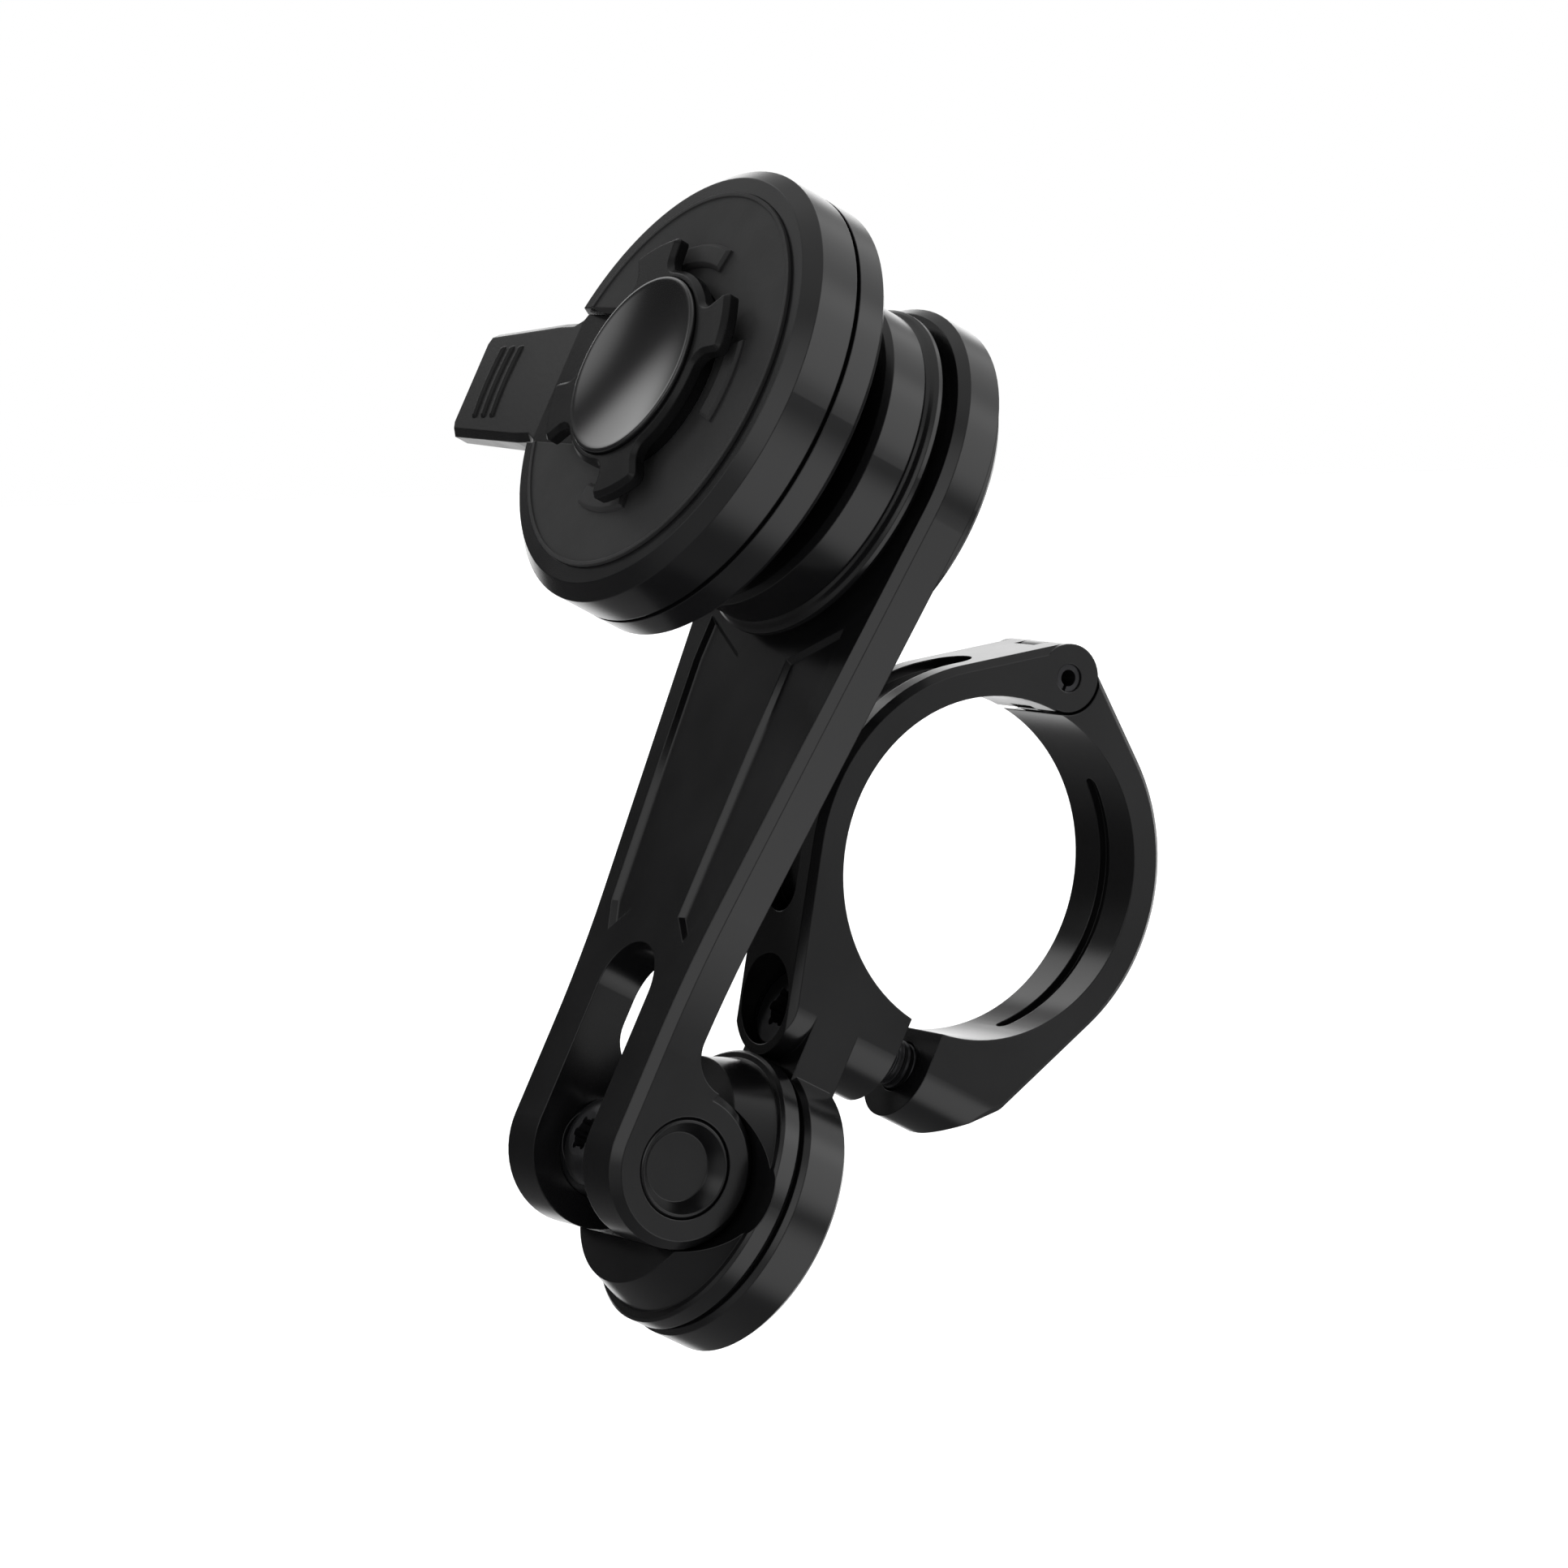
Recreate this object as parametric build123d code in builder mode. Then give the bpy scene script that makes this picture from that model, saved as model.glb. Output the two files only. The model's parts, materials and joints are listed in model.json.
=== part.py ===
from build123d import *
from math import acos, asin, cos, degrees, radians, sin, sqrt, tan
import os

# Handlebar phone mount, in millimetres.
# The origin is the centre of the handlebar clamp and X runs along the bar.
# The mount leans back by the rake. Sizes are given along two leaning directions:
# "ahead" of the bar, towards the rider, and "height" above the bar.

# ---------------------------------------------------------------- driving dimensions
rake = 26.5                     # lean of the whole mount, degrees

bar_radius = 17.5
band_width = 10.9               # clamp band, along the bar
band_wall = 3.4
knuckle_radius = 3.5
hinge_pin_radius = 1.45
hinge_pin_bore = 0.85
hinge_height = 21.2
middle_knuckle = 3.6            # width of the jaw's knuckle
ear_gap = 4.1                   # between the two clamp ears
ear_gap_centre = -0.25          # ahead of the bar
clamp_bolt_drop = 21.5          # below the bar
clamp_bolt_radius = 2.4
clamp_bolt_head_radius = 4.2
clamp_bolt_head_height = 4.8
clamp_bolt_seat = 8.4           # ahead of the bar

lug_radius = 14.8
lug_thickness = 5.3
lug_front = 12.2                # ahead of the bar
swivel_drop = 41.7              # swivel axis below the bar

friction_ring_thickness = 0.6
friction_ring_radius = 13.8
turret_flange_radius = 14.65
turret_flange_height = 2.4
turret_cone_radius = 13.7
turret_land_radius = 12.2
turret_height = 6.6
spigot_radius = 6.5
spigot_depth = 2.0

pivot_rise = 10.1               # pivot axis ahead of the turret's base
barrel_radius = 5.05
eye_radius = 8.1
screw_radius = 2.5
screw_head_radius = 4.7
screw_head_height = 2.6
screw_seat = 3.2                # flat on the barrel, ahead of the pivot axis

arm_reach = 70.4                # pivot axis to head axis
arm_thickness = 4.6
arm_end_radius = 19.4
arm_half_width = 11.1
arm_taper = 9.1                 # degrees, each side
fork_half_gap = 5.0
fork_depth = 19.7               # top of the fork slot above the pivot
arm_chamfer = 0.9
pocket_depth = 0.5
pocket_slope = 45              # degrees, of the pocket's walls

isolator_ring_radius = 17.2
isolator_wall = 1.9
isolator_bead = 0.7             # how far the base's bead stands out of the ring
pedestal_inset = 1.3            # how far the base's foot stands back from the ring
isolator_base_height = 2.9
isolator_ring_height = 4.9
isolator_lip = 1.5
damper_thickness = 1.35
piston_thickness = 1.2
piston_gap = 0.5                # round the piston, inside the ring
float_gap = 1.1                 # between the isolator ring and the head's neck

head_radius = 23.55
head_neck_radius = 14.6
head_neck_height = 4.4
rear_housing_height = 3.6
front_housing_height = 5.9
head_seam = 0.3
head_chamfer = 1.4
pad_radius = 20.4
pad_thickness = 1.4
pad_proud = 0.2
channel_half_width = 7.5

lug_plate_thickness = 1.5
lug_plate_lift = 1.4            # above the pad's face
lug_tip_radius = 14.4
lug_waist_radius = 10.6
lug_neck_radius = 9.8
cap_radius = 9.6
cap_proud = 0.44
magnet_radius = 6.9
magnet_thickness = 2.0

lever_reach = 44.6              # tip of the lever from the head axis
lever_thickness = 3.1
lever_lean = 5.0                # degrees
lever_travel = 2.5
lever_sink = 1.4                # lever's face below the pad's face, at the rim

slip = 0.05                     # running clearance, on the radius
free = 0.3                      # clearance between parts that move past each other
seat_gap = 0.1                  # clearance of a drop-in seat, on the radius
pad_fit = 0.02                  # clearance of the glued pad, on the radius

# ---------------------------------------------------------------- worked-out places
lug_back = lug_front - lug_thickness
turret_base = lug_front + friction_ring_thickness
turret_top = turret_base + turret_height
pivot_ahead = turret_base + pivot_rise
pivot_height = -swivel_drop
arm_front = pivot_ahead + eye_radius
arm_back = arm_front - arm_thickness
head_height = pivot_height + arm_reach

isolator_cavity_radius = isolator_ring_radius - isolator_wall
isolator_pedestal_radius = isolator_ring_radius - pedestal_inset
isolator_radius = isolator_ring_radius + isolator_bead
piston_radius = isolator_cavity_radius - piston_gap
base_top = arm_front + isolator_base_height
ring_top = base_top + isolator_ring_height
cavity_top = ring_top - isolator_lip
cavity_floor = cavity_top - 2 * damper_thickness - piston_thickness
piston_back = cavity_floor + damper_thickness
piston_front = piston_back + piston_thickness
neck_back = ring_top + float_gap
rear_back = neck_back + head_neck_height
rear_front = rear_back + rear_housing_height
front_back = rear_front + head_seam
front_front = front_back + front_housing_height
pad_front = front_front + pad_proud
pad_back = pad_front - pad_thickness
lug_plate_back = pad_front + lug_plate_lift
lug_plate_front = lug_plate_back + lug_plate_thickness
cap_front = lug_plate_front + cap_proud

# ---------------------------------------------------------------- leaning frame
rake_cos = cos(radians(rake))
rake_sin = sin(radians(rake))
front = Plane(origin=(0, 0, 0), x_dir=(1, 0, 0), z_dir=(0, -rake_cos, rake_sin))
side = Plane(origin=(0, 0, 0), x_dir=front.z_dir, z_dir=(-1, 0, 0))


def facing(ahead):
    """Plane square to the fore-and-aft direction; x along the bar, y is height."""
    return front.offset(ahead)


def section(height):
    """Plane through a fore-and-aft axis; x is the radius, y is the distance ahead."""
    return Plane(
        origin=front.from_local_coords((0, height, 0)), x_dir=(1, 0, 0), z_dir=-front.y_dir
    )


def fore_axis(height):
    """Fore-and-aft axis at one height."""
    return Axis(front.from_local_coords((0, height, 0)), front.z_dir)


def cross_plane(ahead, height):
    """Side plane with its origin on an axis that runs along the bar."""
    return Plane(
        origin=side.from_local_coords((ahead, height, 0)), x_dir=side.x_dir, z_dir=side.z_dir
    )


# ---------------------------------------------------------------- helpers
def turned(outline, height):
    """Solid of revolution about a fore-and-aft axis, from (radius, ahead) points."""
    with BuildPart() as solid:
        with BuildSketch(section(height)):
            with BuildLine():
                Polyline(*outline, close=True)
            make_face()
        revolve(axis=fore_axis(height))
    return solid.part


def disc(radius, back, ahead, height, bore=0.0, edge=0.0):
    """Disc or ring between two stations, with an optional chamfer on its rims."""
    outline = [
        (bore, back),
        (radius - edge, back),
        (radius, back + edge),
        (radius, ahead - edge),
        (radius - edge, ahead),
        (bore, ahead),
    ]
    if edge == 0:
        outline = [(bore, back), (radius, back), (radius, ahead), (bore, ahead)]
    return turned(outline, height)


def rods(points, radius, back, ahead):
    """Equal cylinders, at (across, height) points, between two stations."""
    with BuildPart() as solid:
        with BuildSketch(facing(back)):
            with Locations(*points):
                Circle(radius)
        extrude(amount=ahead - back)
    return solid.part


def plate(points, back, ahead):
    """Flat plate with a straight-sided (across, height) outline."""
    with BuildPart() as solid:
        with BuildSketch(facing(back)):
            with BuildLine():
                Polyline(*points, close=True)
            make_face()
        extrude(amount=ahead - back)
    return solid.part


def cross_rod(ahead, height, radius, half_length):
    """Cylinder along the bar direction."""
    with BuildPart() as solid:
        with BuildSketch(cross_plane(ahead, height)):
            Circle(radius)
        extrude(amount=half_length, both=True)
    return solid.part


def ring_of(count, radius, height, start=0.0):
    """Points spaced evenly on a circle about a fore-and-aft axis."""
    angles = [radians(start + 360 * step / count) for step in range(count)]
    return [(radius * cos(angle), height + radius * sin(angle)) for angle in angles]


def star_drive(points, radius, back, ahead):
    """Six-lobed driver recess at each point."""
    lobes = [
        (x + radius * cos(radians(60 * step)), y + radius * sin(radians(60 * step)))
        for x, y in points
        for step in range(6)
    ]
    with BuildPart() as solid:
        with BuildSketch(facing(back)):
            with Locations(*points):
                Circle(radius)
            with Locations(*lobes):
                Circle(radius * 0.28)
        extrude(amount=ahead - back)
    return solid.part


def polar(radius, angle):
    """Point on a circle about the sketch's origin, by its angle in degrees."""
    return (radius * cos(radians(angle)), radius * sin(radians(angle)))


def save(piece, name):
    """Label a finished piece and write it to its own file."""
    piece.part.label = name
    export_step(piece.part, f"parts/{name}.step")


os.makedirs("parts", exist_ok=True)

# ---------------------------------------------------------------- handlebar clamp
band_radius = bar_radius + band_wall
half_band = band_width / 2
front_ear_back = ear_gap_centre + ear_gap / 2
jaw_ear_front = ear_gap_centre - ear_gap / 2
roof_angle = degrees(acos((band_radius - knuckle_radius) / hinge_height))
bolt_height = -clamp_bolt_drop
ear_bottom = bolt_height - half_band
band_edge = 0.7                 # chamfer on the band's outer edges
front_face_slope = 16.5         # degrees, of the front ear's face
jaw_flank_slope = 26.8
ear_heel = 4.6                  # jaw ear's thickness at its foot
heel_round = 2.6
toe_round = 0.9
relief_half_width = 2.7         # long relief in the outside of the fixed half
relief_depth = 1.0
relief_ends = (-29, 58)         # degrees round the bar
groove_half_width = 0.9         # shallow groove in the bore of the jaw
groove_depth = 0.8
groove_ends = (129, 226)


def roof_points(side_sign):
    """Where the straight roof touches the band and the knuckle, on one side."""
    angle = 90 - side_sign * roof_angle
    on_band = polar(band_radius, angle)
    on_knuckle = polar(knuckle_radius, angle)
    return on_band, (on_knuckle[0], on_knuckle[1] + hinge_height)


def front_outline():
    """Side view of the fixed half of the clamp, before the bar is bored out."""
    on_band, on_knuckle = roof_points(1)
    slope_start = polar(band_radius, -front_face_slope)
    drop = slope_start[1] - bolt_height + half_band
    toe = (slope_start[0] - drop * tan(radians(front_face_slope)), ear_bottom)
    with BuildSketch() as outline:
        with BuildLine():
            Line((0, hinge_height + knuckle_radius), (0, 0))
            Line((0, 0), (front_ear_back, 0))
            Line((front_ear_back, 0), (front_ear_back, ear_bottom))
            Line((front_ear_back, ear_bottom), toe)
            Line(toe, slope_start)
            ThreePointArc(slope_start, polar(band_radius, 10), on_band)
            Line(on_band, on_knuckle)
            ThreePointArc(
                on_knuckle,
                (
                    knuckle_radius * sin(radians(roof_angle / 2)),
                    hinge_height + knuckle_radius * cos(radians(roof_angle / 2)),
                ),
                (0, hinge_height + knuckle_radius),
            )
        make_face()
    return outline.sketch


def jaw_outline():
    """Side view of the swinging half of the clamp, before the bar is bored out."""
    on_band, on_knuckle = roof_points(-1)
    flank_start = polar(band_radius, 180 + jaw_flank_slope)
    heel = (jaw_ear_front - ear_heel, ear_bottom)
    flank_drop = flank_start[1] - bolt_height
    flank_end = (
        flank_start[0] + flank_drop * tan(radians(jaw_flank_slope)),
        bolt_height,
    )
    with BuildSketch() as outline:
        with BuildLine():
            Line((0, hinge_height), (0, 0))
            Line((0, 0), (jaw_ear_front, 0))
            Line((jaw_ear_front, 0), (jaw_ear_front, ear_bottom))
            Line((jaw_ear_front, ear_bottom), heel)
            Line(heel, flank_end)
            Line(flank_end, flank_start)
            ThreePointArc(flank_start, polar(band_radius, 170), on_band)
            Line(on_band, on_knuckle)
            Line(on_knuckle, (0, hinge_height))
        make_face()
        fillet(outline.vertices().sort_by_distance(flank_end)[0], heel_round)
        fillet(outline.vertices().sort_by_distance(heel)[0], toe_round)
    return outline.sketch


def ear_shape(ahead_from, ahead_to):
    """Front view of an ear: the band's width, rounded about the clamp bolt."""
    top = hinge_height + 2 * knuckle_radius
    with BuildPart() as solid:
        with BuildSketch(facing(ahead_from)):
            with Locations((0, (top + bolt_height) / 2)):
                Rectangle(band_width, top - bolt_height)
            with Locations((0, bolt_height)):
                Circle(half_band)
        extrude(amount=ahead_to - ahead_from)
    return solid.part


def band_sector(inner, outer, start, end, half_width):
    """Curved block about the bar, from one angle to another."""
    middle = (start + end) / 2
    with BuildPart() as solid:
        with BuildSketch(side):
            with BuildLine():
                ThreePointArc(polar(inner, start), polar(inner, middle), polar(inner, end))
                Line(polar(inner, end), polar(outer, end))
                ThreePointArc(polar(outer, end), polar(outer, middle), polar(outer, start))
                Line(polar(outer, start), polar(inner, start))
            make_face()
        extrude(amount=half_width, both=True)
    return solid.part


def round_slot(inner, outer, ends, half_width):
    """Slot that runs round the bar, with round ends."""
    with BuildPart() as solid:
        add(band_sector(inner, outer, ends[0], ends[1], half_width))
        for angle in ends:
            start = side.from_local_coords((*polar(inner, angle), 0))
            outward = side.from_local_coords((*polar(1, angle), 0))
            with BuildSketch(Plane(origin=start, z_dir=outward)):
                Circle(half_width)
            extrude(amount=outer - inner)
    return solid.part


def rim_edges(piece):
    """Edges of the two flat sides that lie outside the band, clear of the knuckle."""
    chosen = ShapeList()
    for edge in piece.edges():
        middle = side.to_local_coords(edge.position_at(0.5))
        on_side = abs(abs(middle.Z) - half_band) < 0.01
        from_bar = sqrt(middle.X**2 + middle.Y**2)
        from_pin = sqrt(middle.X**2 + (middle.Y - hinge_height) ** 2)
        if on_side and from_bar > band_radius - 0.1 and from_pin > knuckle_radius + 1:
            chosen.append(edge)
    return chosen


with BuildPart() as clamp_front:
    with BuildSketch(side):
        add(front_outline())
    extrude(amount=half_band, both=True)
    chamfer(rim_edges(clamp_front), band_edge)
    add(ear_shape(-band_radius, band_radius), mode=Mode.INTERSECT)
    # knuckles on each side of the jaw's own
    add(cross_rod(0, hinge_height, knuckle_radius, half_band))
    add(cross_rod(0, 0, bar_radius, band_width), mode=Mode.SUBTRACT)
    add(
        cross_rod(0, hinge_height, knuckle_radius + free, middle_knuckle / 2 + slip),
        mode=Mode.SUBTRACT,
    )
    add(cross_rod(0, hinge_height, hinge_pin_radius, band_width), mode=Mode.SUBTRACT)
    # long relief in the outside of the band
    add(
        round_slot(
            band_radius - relief_depth, band_radius + 4, relief_ends, relief_half_width
        ),
        mode=Mode.SUBTRACT,
    )
    # disc that the turret turns on, and the neck that carries it
    add(disc(lug_radius, lug_back, lug_front, pivot_height, edge=0.5))
    with BuildSketch(facing(lug_back)):
        with Locations((0, (bolt_height + pivot_height) / 2)):
            Rectangle(band_width, bolt_height - pivot_height)
    extrude(amount=lug_thickness)
    # clamp bolt's seat, and the turret's spigot and screw
    bolt_point = [(0, bolt_height)]
    screw_point = [(0, pivot_height)]
    add(rods(bolt_point, clamp_bolt_radius + 0.3, -5, 30), mode=Mode.SUBTRACT)
    add(
        rods(bolt_point, clamp_bolt_head_radius + 0.25, clamp_bolt_seat, 30),
        mode=Mode.SUBTRACT,
    )
    add(
        disc(spigot_radius + slip, lug_front - spigot_depth - 0.2, lug_front + 1, pivot_height),
        mode=Mode.SUBTRACT,
    )
    add(rods(screw_point, screw_radius + slip, lug_back - 1, lug_front), mode=Mode.SUBTRACT)
save(clamp_front, "clamp_front")

with BuildPart() as clamp_jaw:
    with BuildSketch(side):
        add(jaw_outline())
    extrude(amount=half_band, both=True)
    chamfer(rim_edges(clamp_jaw), band_edge)
    add(ear_shape(-band_radius - 1, band_radius), mode=Mode.INTERSECT)
    add(
        cross_rod(0, hinge_height, knuckle_radius + free, half_band + 1),
        mode=Mode.SUBTRACT,
    )
    # web and knuckle between the fixed half's two knuckles
    with BuildSketch(side):
        with BuildLine():
            Line((0, hinge_height), (0, bar_radius))
            Line((0, bar_radius), polar(band_radius, 118))
            Line(polar(band_radius, 118), roof_points(-1)[0])
            Line(roof_points(-1)[0], roof_points(-1)[1])
            Line(roof_points(-1)[1], (0, hinge_height))
        make_face()
    extrude(amount=middle_knuckle / 2, both=True)
    add(cross_rod(0, hinge_height, knuckle_radius, middle_knuckle / 2))
    add(cross_rod(0, 0, bar_radius, band_width), mode=Mode.SUBTRACT)
    add(cross_rod(0, hinge_height, hinge_pin_radius + slip, band_width), mode=Mode.SUBTRACT)
    # shallow groove round the inside, and the tapped hole in the ear
    add(
        round_slot(bar_radius - 2, bar_radius + groove_depth, groove_ends, groove_half_width),
        mode=Mode.SUBTRACT,
    )
    add(rods(bolt_point, clamp_bolt_radius + free, -25, 0), mode=Mode.SUBTRACT)
save(clamp_jaw, "clamp_jaw")

with BuildPart() as hinge_pin:
    add(cross_rod(0, hinge_height, hinge_pin_radius, half_band - 0.2))
    add(cross_rod(0, hinge_height, hinge_pin_bore, half_band), mode=Mode.SUBTRACT)
    with BuildSketch(cross_plane(0, hinge_height)):
        with Locations((0, -hinge_pin_radius)):
            Rectangle(0.35, 2 * hinge_pin_radius)
    extrude(amount=half_band, both=True, mode=Mode.SUBTRACT)
save(hinge_pin, "hinge_pin")

bolt_grip = 4.8                 # thread held in the jaw's ear
bolt_tip = jaw_ear_front - bolt_grip
bolt_head_front = clamp_bolt_seat + clamp_bolt_head_height
with BuildPart() as clamp_bolt:
    add(disc(clamp_bolt_radius, bolt_tip, clamp_bolt_seat, bolt_height, edge=0.3))
    add(
        disc(clamp_bolt_head_radius, clamp_bolt_seat, bolt_head_front, bolt_height, edge=0.3)
    )
    add(
        star_drive(bolt_point, 1.75, bolt_head_front - 2.6, bolt_head_front + 1),
        mode=Mode.SUBTRACT,
    )
save(clamp_bolt, "clamp_bolt")

# ---------------------------------------------------------------- swivel and pivot
with BuildPart() as swivel_ring:
    add(
        disc(
            friction_ring_radius, lug_front, turret_base, pivot_height, bore=spigot_radius + free
        )
    )
save(swivel_ring, "swivel_ring")

turret_profile = [
    (0, turret_base - spigot_depth),
    (spigot_radius, turret_base - spigot_depth),
    (spigot_radius, turret_base),
    (turret_flange_radius - 0.3, turret_base),
    (turret_flange_radius, turret_base + 0.3),
    (turret_flange_radius, turret_base + turret_flange_height - 0.3),
    (turret_flange_radius - 0.3, turret_base + turret_flange_height),
    (turret_cone_radius, turret_base + turret_flange_height),
    (turret_land_radius, turret_top),
    (0, turret_top),
]
saddle_radius = eye_radius + free
with BuildPart() as turret:
    add(turned(turret_profile, pivot_height))
    add(
        cross_rod(pivot_ahead, pivot_height, saddle_radius, turret_flange_radius),
        mode=Mode.SUBTRACT,
    )
    add(
        rods(screw_point, screw_radius + 0.2, lug_back, turret_top),
        mode=Mode.SUBTRACT,
    )
save(turret, "turret")

barrel_half = arm_half_width
barrel_end_recess = 1.6
barrel_end_rim = 0.5
barrel_end_slope = 34           # degrees, of the recess's wall
with BuildPart() as pivot_barrel:
    add(cross_rod(pivot_ahead, pivot_height, barrel_radius, barrel_half))
    chamfer(pivot_barrel.edges().group_by(Axis.X)[0], 0.3)
    chamfer(pivot_barrel.edges().group_by(Axis.X)[-1], 0.3)
    for end in (-1, 1):
        with BuildSketch(cross_plane(pivot_ahead, pivot_height).offset(end * barrel_half)):
            Circle(barrel_radius - barrel_end_rim)
        extrude(amount=-end * barrel_end_recess, taper=barrel_end_slope, mode=Mode.SUBTRACT)
    add(
        rods(screw_point, screw_radius + 0.15, pivot_ahead - 10, pivot_ahead + 10),
        mode=Mode.SUBTRACT,
    )
    add(
        rods(
            screw_point,
            screw_head_radius + 0.2,
            pivot_ahead + screw_seat,
            pivot_ahead + 10,
        ),
        mode=Mode.SUBTRACT,
    )
save(pivot_barrel, "pivot_barrel")

screw_head_back = pivot_ahead + screw_seat
screw_head_front = screw_head_back + screw_head_height
with BuildPart() as pivot_screw:
    with BuildSketch(section(pivot_height)):
        with BuildLine():
            Line((0, lug_back + 0.3), (screw_radius - 0.3, lug_back + 0.3))
            Line((screw_radius - 0.3, lug_back + 0.3), (screw_radius, lug_back + 0.6))
            Line((screw_radius, lug_back + 0.6), (screw_radius, screw_head_back))
            Line((screw_radius, screw_head_back), (screw_head_radius, screw_head_back))
            Line((screw_head_radius, screw_head_back), (screw_head_radius, screw_head_back + 0.6))
            ThreePointArc(
                (screw_head_radius, screw_head_back + 0.6),
                (screw_head_radius * 0.82, screw_head_back + 0.75 * screw_head_height),
                (screw_head_radius * 0.5, screw_head_front),
            )
            Line((screw_head_radius * 0.5, screw_head_front), (0, screw_head_front))
            Line((0, screw_head_front), (0, lug_back + 0.3))
        make_face()
    revolve(axis=fore_axis(pivot_height))
    add(
        star_drive(screw_point, 1.45, screw_head_front - 1.7, screw_head_front + 1),
        mode=Mode.SUBTRACT,
    )
save(pivot_screw, "pivot_screw")

# ---------------------------------------------------------------- arm
head_point = [(0, head_height)]
spindle_hole = 5.6
arm_screw_inset = 3.9           # screws' centres, in from the foot of the isolator's base
arm_screw_circle = isolator_pedestal_radius - arm_screw_inset
arm_screw_radius = 1.4
arm_screws = ring_of(4, arm_screw_circle, head_height, 45)
blend_radius = 90.0
slot_top = pivot_height + fork_depth
neck_fillet = 4.0

taper_tan = tan(radians(arm_taper))
taper_start = (arm_end_radius * cos(radians(arm_taper)), arm_end_radius * sin(radians(arm_taper)))
waist_height = head_height - (taper_start[0] - arm_half_width) / taper_tan - taper_start[1]


def arm_outline():
    """Front view of the arm: a round end that tapers to a straight fork."""
    right = (taper_start[0], head_height - taper_start[1])
    with BuildSketch() as outline:
        with BuildLine():
            ThreePointArc(
                (-right[0], right[1]), (0, head_height + arm_end_radius), (right[0], right[1])
            )
            Line((right[0], right[1]), (arm_half_width, waist_height))
            Line((arm_half_width, waist_height), (arm_half_width, pivot_height))
            Line((arm_half_width, pivot_height), (-arm_half_width, pivot_height))
            Line((-arm_half_width, pivot_height), (-arm_half_width, waist_height))
            Line((-arm_half_width, waist_height), (-right[0], right[1]))
        make_face()
        waist = [
            corner
            for corner in outline.vertices()
            if abs(corner.Y - waist_height) < 0.01
        ]
        fillet(waist, blend_radius)
    return outline.sketch


def pocket_outline():
    """Front view of one of the two shallow pockets, right of the middle."""
    top = head_height
    return [
        (4.7, top - 19.6),
        (12.8, top - 15.7),
        (12.8, top - 20.5),
        (9.0, top - 47.0),
        (7.4, top - 50.0),
        (4.7, top - 47.6),
    ]


def front_face_edges(piece, half_gap):
    """Edges of the front face, apart from those of the holes and pockets."""
    chosen = ShapeList()
    for edge in piece.faces().sort_by(Axis(front.origin, front.z_dir))[-1].edges():
        middle = front.to_local_coords(edge.position_at(0.5))
        if middle.Y > pivot_height + 0.2 and abs(middle.X) > half_gap:
            chosen.append(edge)
    return chosen


def fork_eye():
    """Round eye of the fork, right across the arm, with bevelled ends."""
    with BuildPart() as solid:
        add(cross_rod(pivot_ahead, pivot_height, eye_radius, arm_half_width))
        chamfer(solid.edges().filter_by(GeomType.CIRCLE), arm_chamfer)
    return solid.part


with BuildPart() as arm:
    with BuildSketch(facing(arm_back)):
        add(arm_outline())
    extrude(amount=arm_thickness)
    chamfer(front_face_edges(arm, 0), arm_chamfer)
    # eyes of the fork, with a fillet where they meet the back of the arm
    add(fork_eye())
    with BuildSketch(cross_plane(pivot_ahead, pivot_height)):
        with BuildLine():
            back_offset = arm_back - pivot_ahead
            reach = eye_radius + neck_fillet
            fillet_x = back_offset - neck_fillet
            fillet_y = sqrt(reach**2 - fillet_x**2)
            touch = (fillet_x * eye_radius / reach, fillet_y * eye_radius / reach)
            mid_angle = radians(-(degrees(acos(fillet_x / -reach))) / 2)
            Line((back_offset, 0), touch)
            ThreePointArc(
                touch,
                (
                    fillet_x + neck_fillet * cos(mid_angle),
                    fillet_y + neck_fillet * sin(mid_angle),
                ),
                (back_offset, fillet_y),
            )
            Line((back_offset, fillet_y), (eye_radius - arm_chamfer, fillet_y))
            Line((eye_radius - arm_chamfer, fillet_y), (eye_radius - arm_chamfer, 0))
            Line((eye_radius - arm_chamfer, 0), (back_offset, 0))
        make_face()
    extrude(amount=arm_half_width, both=True)
    # slot of the fork, open at the foot
    with BuildSketch(facing(pivot_ahead - eye_radius - 1)):
        with Locations((0, slot_top - fork_half_gap)):
            Circle(fork_half_gap)
        slot_foot = pivot_height - eye_radius - 1
        with Locations((0, (slot_top - fork_half_gap + slot_foot) / 2)):
            Rectangle(2 * fork_half_gap, slot_top - fork_half_gap - slot_foot)
    extrude(amount=2 * eye_radius + 4, mode=Mode.SUBTRACT)
    # shallow pockets in the front face
    for mirrored in (1, -1):
        with BuildSketch(facing(arm_front)):
            with BuildLine():
                Polyline(*[(mirrored * x, y) for x, y in pocket_outline()], close=True)
            make_face()
        extrude(amount=-pocket_depth, taper=pocket_slope, mode=Mode.SUBTRACT)
    # bore for the pivot barrel, and the holes behind the isolator
    add(
        cross_rod(pivot_ahead, pivot_height, barrel_radius + slip, arm_half_width + 1),
        mode=Mode.SUBTRACT,
    )
    add(rods(head_point, spindle_hole, arm_back - 1, arm_front + 1), mode=Mode.SUBTRACT)
    add(
        rods(arm_screws, arm_screw_radius + seat_gap, arm_back - 1, arm_front + 1),
        mode=Mode.SUBTRACT,
    )
save(arm, "arm")

# ---------------------------------------------------------------- isolator behind the head
cap_thickness = 2.0
cap_edge = 0.5
cap_plate_radius = isolator_ring_radius + 0.4
arm_screw_head_radius = 2.4
arm_screw_head_height = 1.3
hub_radius = 8.8
spindle_radius = 2.0
spindle_head_radius = 4.4
spindle_head_height = 2.2

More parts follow.
